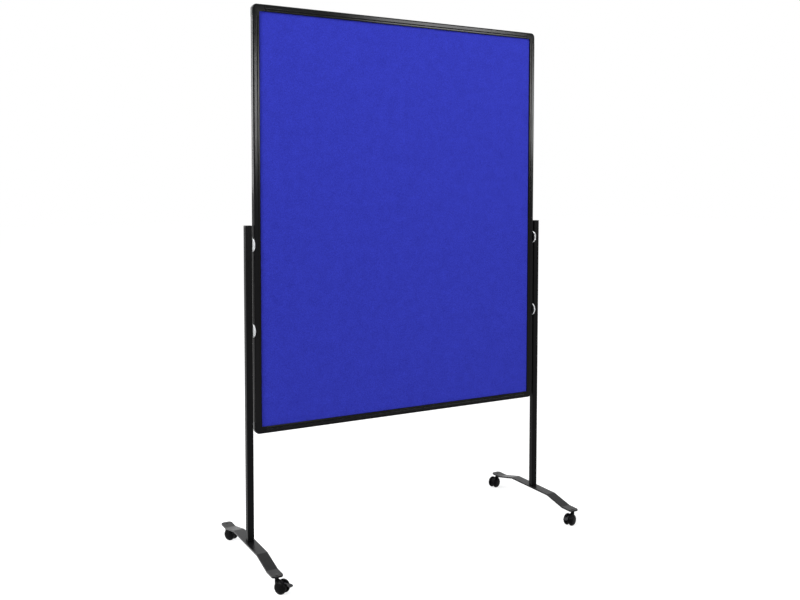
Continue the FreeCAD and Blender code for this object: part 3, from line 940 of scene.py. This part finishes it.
@dataclass
class Caster:
    """Twin-wheel swivel caster: round-bodied housing, two domed wheels and, on two of them, a brake pedal.

    Its own axes are X from the stem towards the axle, Y along the axle and Z up from the floor.
    """

    name: str
    hub: Vector
    axis: Vector
    braked: bool
    trail: float = 22.0
    radius: float = 22.5
    thick: float = 13.5
    inner: float = 7.6
    bore: float = 3.05
    bore_depth: float = 9.5
    inner_soft: float = 1.0
    tread: float = 6.5
    tread_soft: float = 3.4
    shoulder: float = 16.5
    shoulder_fall: float = 0.4
    shoulder_soft: float = 3.6
    cap_radius: float = 11.0
    cap_rise: float = 0.6
    cap_slope: float = 2.0
    groove_half: float = 0.5
    groove_depth: float = 0.6
    boss_radius: float = 7.0
    boss_soft: float = 1.5
    boss_floor: float = 14.0
    floor_soft: float = 1.2
    neck_radius: float = 6.2
    neck_soft: float = 0.6
    neck_low: float = 43.5
    neck_top: float = 48.5
    socket_radius: float = 4.05
    socket_floor: float = 25.8
    body_radius: float = 19.0
    body_half: float = 6.0
    body_soft: float = 1.3
    web_half: float = 5.0
    web_soft: float = 1.0
    web_low: float = 12.0
    web_front: float = -3.0
    web_behind: float = 4.65
    web_under: float = 25.4
    shell_step: float = 0.3
    pivot: Pair = (33.0, 34.5)
    notch_half: float = 3.8
    notch_front: float = 28.0
    notch_floor: float = 28.5
    core_arc: tuple[Pair, Pair] = ((0.55, 3.2), (0.87, 9.5))
    core_in: float = 0.3
    core_drop: float = 1.2
    core_lap: float = 0.1
    barrel: float = 3.4
    arm_half: float = 3.4
    arm_in: float = 0.5
    arm_lap: float = 3.0
    arm_under: float = 0.3
    arm_drop: float = 0.6
    arm_soft: float = 0.5
    paddle_from: float = 47.0
    paddle_to: float = 63.0
    paddle_half: float = 9.0
    paddle_top: float = 36.5
    paddle_t: float = 3.6
    paddle_drop: float = 2.5
    paddle_soft: float = 0.8
    paddle_corner: float = 5.0
    ribs: Triple = (0.45, 0.62, 0.79)
    rib_half: float = 6.5
    rib_w: float = 1.2
    rib_rise: float = 0.35
    rib_root: float = 0.3
    rib_soft: float = 0.25

    def build(self) -> None:
        """Makes the housing, both wheels and the pedal."""
        self.housing(self.name + "_housing")
        for letter, way in (("a", 1), ("b", -1)):
            self.wheel(f"{self.name}_wheel_{letter}", way)
        if self.braked:
            self.pedal(self.name + "_pedal")

    def place(self) -> Matrix:
        """The caster's own axes, from the floor under its stem.

        Returns:
            Where the caster goes.
        """
        along = self.axis.cross(Vector((0.0, 0.0, 1.0)))
        axes = Matrix((along, self.axis, (0.0, 0.0, 1.0))).transposed().to_4x4()
        return Matrix.Translation((self.hub - along * self.trail * MM) * Vector((1.0, 1.0, 0.0))) @ axes

    def washer(self, low: float, high: float) -> tuple[Shape, Matrix]:
        """Turns a disc of the housing's round body on the axle, rounded where it ends the body.

        Args:
            low: Its lower face along the axle.
            high: Its upper face.

        Returns:
            The disc and where it goes.
        """
        bm = bmesh.new()
        wide = self.body_radius
        turned(bm, [(self.bore, low), (wide, low), (wide, high), (self.bore, high), (self.bore, low)])
        for height in (low, high):
            if abs(height) == self.body_half:
                rim_rounded(bm, wide, height, self.body_soft, segments=4)
        return bm, moved(self.trail, 0.0, self.radius) @ UPRIGHT

    def socket(self) -> Shape:
        """Turns the swivel socket with its softened neck and boss.

        Returns:
            The socket.
        """
        bm = bmesh.new()
        turned(bm, [
            (0.0, self.socket_floor), (self.socket_radius, self.socket_floor),
            (self.socket_radius, self.neck_top), (self.neck_radius, self.neck_top),
            (self.boss_radius, self.neck_low), (self.boss_radius, self.boss_floor), (0.0, self.boss_floor),
        ], steps=48)
        rim_rounded(bm, self.boss_radius, self.neck_low, self.boss_soft)
        rim_rounded(bm, self.neck_radius, self.neck_top, self.neck_soft)
        rim_rounded(bm, self.boss_radius, self.boss_floor, self.floor_soft)
        return bm

    def housing(self, node: str) -> None:
        """Moulds the swivel socket, the web behind it and the round body, notched where a pedal sits.

        Args:
            node: The node that it stands for.
        """
        low, high = self.radius - self.body_radius, self.radius + self.body_radius
        under = [
            (self.web_front, self.boss_floor), (self.trail, low + self.shell_step),
            (self.trail, self.web_under), (self.web_front, self.web_under),
        ]
        over = [
            (self.web_behind, self.web_low), (self.trail, low), (self.trail, high),
            (self.boss_radius, self.neck_low), (self.web_behind, self.neck_low),
        ]
        shells = [(self.socket(), Matrix())]
        for outline in (under, over):
            shells.append((slab(outline, -self.web_half, self.web_half, self.web_soft), UPRIGHT))
        if self.braked:
            shells.append(self.washer(-self.body_half, -self.notch_half))
            shells.append(self.washer(self.notch_half, self.body_half))
            reach = math.sqrt(self.body_radius ** 2 - (self.notch_floor - self.radius) ** 2)
            half = self.notch_half + self.core_lap
            # Stays just inside the round body
            core = [
                (self.trail, low),
                *((self.trail + share * reach, low + up) for share, up in self.core_arc),
                (self.trail + reach - self.core_in, self.radius),
                (self.trail + reach - 2 * self.core_in, self.notch_floor),
                (self.notch_front, self.notch_floor), (self.notch_front, high - self.core_drop),
                (self.trail, high),
            ]
            shells.append((slab(core, -half, half), UPRIGHT))
        else:
            shells.append(self.washer(-self.body_half, self.body_half))
        piece = made(joined(shells), node + "_moulding", CASTER, self.place())
        fitted(piece, node, self.name)

    def wheel(self, node: str, way: int) -> None:
        """Turns one wheel with a rounded tread edge, a domed face and a grooved hub cap.

        Args:
            node: The node that it stands for, which is also its body's name.
            way: Its side along the axle.
        """
        bm = bmesh.new()
        cap, groove = self.cap_radius, self.groove_half
        top = self.thick - self.cap_rise
        shoulder_top = top - self.shoulder_fall
        turned(bm, [
            (0.0, self.bore_depth), (self.bore, self.bore_depth), (self.bore, 0.0), (self.radius, 0.0),
            (self.radius, self.tread), (self.shoulder, shoulder_top), (cap + groove, top),
            (cap, top - self.groove_depth), (cap - groove, top), (cap - self.cap_slope, self.thick),
            (0.0, self.thick),
        ])
        rim_rounded(bm, self.radius, 0.0, self.inner_soft)
        rim_rounded(bm, self.radius, self.tread, self.tread_soft, segments=6)
        rim_rounded(bm, self.shoulder, shoulder_top, self.shoulder_soft, segments=5)
        turn = Vector((0.0, 0.0, 1.0)).rotation_difference(self.axis * way).to_matrix().to_4x4()
        place = Matrix.Translation(self.hub + self.axis * way * self.inner * MM) @ turn
        fitted(made(bm, node + "_dome", WHEEL, place), node, node)

    def pedal(self, node: str) -> None:
        """Moulds the brake pedal: barrel on its pin, arm and a ribbed paddle with rounded corners.

        Args:
            node: The node that it stands for, which is also its body's name.
        """
        x, z = self.pivot
        half, wide = self.arm_half, self.paddle_half
        root, tip, top = self.paddle_from, self.paddle_to, self.paddle_top
        under = top - self.paddle_t
        barrel = bmesh.new()
        turned(barrel, [(0.0, -half), (self.barrel, -half), (self.barrel, half), (0.0, half)], steps=32)
        arm = [
            (x, z - self.barrel + self.arm_in), (root, under), (root + self.arm_lap, under - self.arm_under),
            (root + self.arm_lap, top - self.arm_drop), (root, top), (x, z + self.barrel - self.arm_in),
        ]
        plan = rectangle((root, -wide), (tip, wide))
        fall = Matrix()
        fall[2][0] = -self.paddle_drop / (tip - root)
        fall[2][3] = -fall[2][0] * root * MM
        shells = [
            (barrel, moved(x, 0.0, z) @ UPRIGHT),
            (slab(arm, -half, half, self.arm_soft), UPRIGHT),
            (slab(plan, under, top, self.paddle_soft, self.paddle_corner), fall),
        ]
        for share in self.ribs:
            at = root + share * (tip - root)
            rib = rectangle((at - self.rib_w / 2, -self.rib_half), (at + self.rib_w / 2, self.rib_half))
            shells.append((slab(rib, top - self.rib_root, top + self.rib_rise, self.rib_soft), fall))
        fitted(made(joined(shells), node + "_moulding", PEDAL, self.place()), node, node)


@dataclass(frozen=True)
class Softbox:
    """Area lamp that the camera doesn't see, with its size in metres and its power in watts."""

    name: str
    place: Triple
    aim: Triple
    width: float
    height: float
    power: float

    def hang(self) -> None:
        """Puts the lamp in its place, facing its aim."""
        data = bpy.data.lights.new(self.name, "AREA")
        data.shape = "RECTANGLE"
        data.size, data.size_y, data.energy = self.width, self.height, self.power
        lamp = linked(self.name, data)
        lamp.location = self.place
        lamp.rotation_euler = (Vector(self.aim) - Vector(self.place)).to_track_quat("-Z", "Y").to_euler()
        lamp.visible_camera = False


LAMPS = (
    Softbox("key_softbox", (-3.6, -1.4, 3.8), (-0.1, 0.0, 1.3), 1.2, 1.2, 150.0),
    Softbox("left_reflector", (0.955, -4.5, 2.03), (-0.6, 0.0, 1.6), 0.4, 0.85, 40.0),
    Softbox("top_reflector", (2.82, -4.5, 2.87), (0.2, 0.0, 1.95), 1.3, 0.65, 76.0),
    Softbox("right_reflector", (3.94, -4.5, 2.12), (0.6, 0.0, 1.65), 0.5, 0.9, 46.0),
    Softbox("top_softbox", (0.35, -1.3, 3.5), (0.2, 0.0, 1.7), 1.4, 0.5, 13.0),
    Softbox("left_strip", (-2.4, 0.15, 1.5), (-0.6, 0.0, 1.0), 0.25, 1.7, 30.0),
    Softbox("rear_strip", (-1.5, 2.6, 1.95), (-0.6, 0.0, 1.6), 0.6, 1.3, 16.0),
    Softbox("rear_fill", (-1.6, 2.6, 4.4), (0.0, 0.0, 1.1), 3.2, 2.8, 150.0),
)


@dataclass
class Studio:
    """White studio: floor, world, soft lamps and the camera at the photograph's view."""

    focal_px: float = 907.05
    centre_px: Pair = (426.73, 236.0)
    place: Triple = (-1.6536, -3.0359, 1.3268)
    yaw: float = 30.0029
    pitch: float = 3.0093
    roll: float = 0.1556
    ambient: float = 0.08
    floor_size: float = 30.0
    floor_grey: float = 0.4
    lift_reach: Pair = (1.0, 5.0)
    lift: Pair = (0.8, 0.97)

    def build(self) -> None:
        """Sets up everything round the object."""
        bpy.context.scene.view_settings.view_transform = "Standard"
        self.world()
        self.floor()
        for lamp in LAMPS:
            lamp.hang()
        self.camera()

    @staticmethod
    def seen(tree: Tree) -> Socket:
        """One for rays from the camera, a reflection or something clear, and zero for others.

        Args:
            tree: The node tree that gets the nodes.

        Returns:
            The ray's weight.
        """
        path = added(tree, "LightPath", {})
        value = path.outputs["Is Camera Ray"]
        for key in ("Is Glossy Ray", "Is Transmission Ray"):
            value = reckoned(tree, "MAXIMUM", value, path.outputs[key])
        return value

    def world(self) -> None:
        """Lights the scene evenly and shows white behind it."""
        world = bpy.data.worlds.new("white_studio")
        world.use_nodes = True
        tree = world.node_tree
        tree.nodes.clear()
        fill = added(tree, "Background", {"Color": WHITE, "Strength": self.ambient}).outputs["Background"]
        white = added(tree, "Background", {"Color": WHITE, "Strength": 1.0}).outputs["Background"]
        mix = added(tree, "MixShader", {"Fac": self.seen(tree), 1: fill, 2: white})
        added(tree, "OutputWorld", {"Surface": mix.outputs["Shader"]})
        bpy.context.scene.world = world

    def floor(self) -> None:
        """Lays a pale floor that keeps the object's shadow and meets the white behind it."""
        bm = bmesh.new()
        bmesh.ops.create_grid(bm, x_segments=1, y_segments=1, size=self.floor_size)
        mesh = bpy.data.meshes.new("studio_floor")
        bm.to_mesh(mesh)
        bm.free()
        floor = linked("studio_floor", mesh)
        material = bpy.data.materials.new("studio_floor")
        material.use_nodes = True
        tree = material.node_tree
        tree.nodes.clear()
        paint = added(tree, "BsdfDiffuse", {"Color": (*even(self.floor_grey), 1.0)})
        place = added(tree, "TexCoord", {}).outputs["Object"]
        away = added(tree, "VectorMath", {0: place}, "LENGTH").outputs["Value"]
        fade = ranged(tree, away, self.lift_reach, self.lift)
        lift = added(tree, "Emission", {"Strength": reckoned(tree, "MULTIPLY", self.seen(tree), fade)})
        both = added(tree, "AddShader", {0: paint.outputs["BSDF"], 1: lift.outputs["Emission"]})
        added(tree, "OutputMaterial", {"Surface": both.outputs["Shader"]})
        mesh.materials.append(material)

    def camera(self) -> None:
        """Puts the camera where the photograph was taken from."""
        yaw, pitch, roll = (math.radians(a) for a in (self.yaw, self.pitch, self.roll))
        ahead = Vector((math.sin(yaw) * math.cos(pitch), math.cos(yaw) * math.cos(pitch), -math.sin(pitch)))
        level = Vector((math.cos(yaw), -math.sin(yaw), 0.0))
        over = level.cross(ahead)
        right = level * math.cos(roll) + over * math.sin(roll)
        up = over * math.cos(roll) - level * math.sin(roll)
        data = bpy.data.cameras.new("photo_camera")
        data.sensor_fit = "HORIZONTAL"
        data.sensor_width = 36.0
        data.lens = self.focal_px * data.sensor_width / PICTURE[0]
        data.shift_x = (PICTURE[0] / 2 - self.centre_px[0]) / PICTURE[0]
        data.shift_y = (self.centre_px[1] - PICTURE[1] / 2) / PICTURE[0]
        camera = linked("photo_camera", data)
        turn = Matrix((right, up, -ahead)).transposed().to_4x4()
        camera.matrix_world = Matrix.Translation(self.place) @ turn
        bpy.context.scene.camera = camera


SLOT_FINISHES = {
    "frame_profile": RAIL_UPRIGHT,
    "corner_plastic": CORNER,
    "core_board": CORE,
    "felt": FELT,
    "post_paint": POST_COAT,
    "foot_paint": FOOT_COAT,
    "cap_plastic": CAP,
    "clamp_metal": PLATED,
    "zinc_steel": PLATED,
    "caster_plastic": CASTER,
    "wheel_plastic": WHEEL,
    "pedal_plastic": PEDAL,
}
NODE_FINISHES = {"caster_stems": BLACKENED}


def dress_nodes(frame: dict) -> None:
    """Gives each CAD node its own finish, or else that of its slot.

    Args:
        frame: The loaded frame.
    """
    for part in frame["record"]["subparts"]:
        mesh = frame["nodes"][part["node"]].data
        finish = NODE_FINISHES.get(part["node"], SLOT_FINISHES[part["material_slot"]])
        mesh.materials.clear()
        mesh.materials.append(material_of(finish))
        LOG.info("%s is dressed in %s", part["node"], finish.name)


def casters(frame: dict) -> list[Caster]:
    """The casters, placed by the joints that their wheels spin on.

    Args:
        frame: The loaded frame.

    Returns:
        The four casters.
    """
    found = []
    ending = "_wheel_a_spin"
    for joint in frame["joints"]:
        if joint["name"].endswith(ending):
            name = joint["name"].removesuffix(ending)
            braked = name + "_pedal" in frame["nodes"]
            found.append(Caster(name, Vector(joint["pos_m"]), Vector(joint["axis"]).normalized(), braked))
    return found


def main() -> None:
    """Builds the pieces in order and sets up the studio."""
    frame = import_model()
    dress_nodes(frame)
    PinSurface().build()
    BoardFrame().build()
    for side in Side:
        StandSide(side).build()
        for level in Level:
            ClampWheel(side, level).build()
    for caster in casters(frame):
        caster.build()
    Studio().build()


if __name__ == "__main__":
    logging.basicConfig(level=logging.INFO, format="%(message)s")
    main()
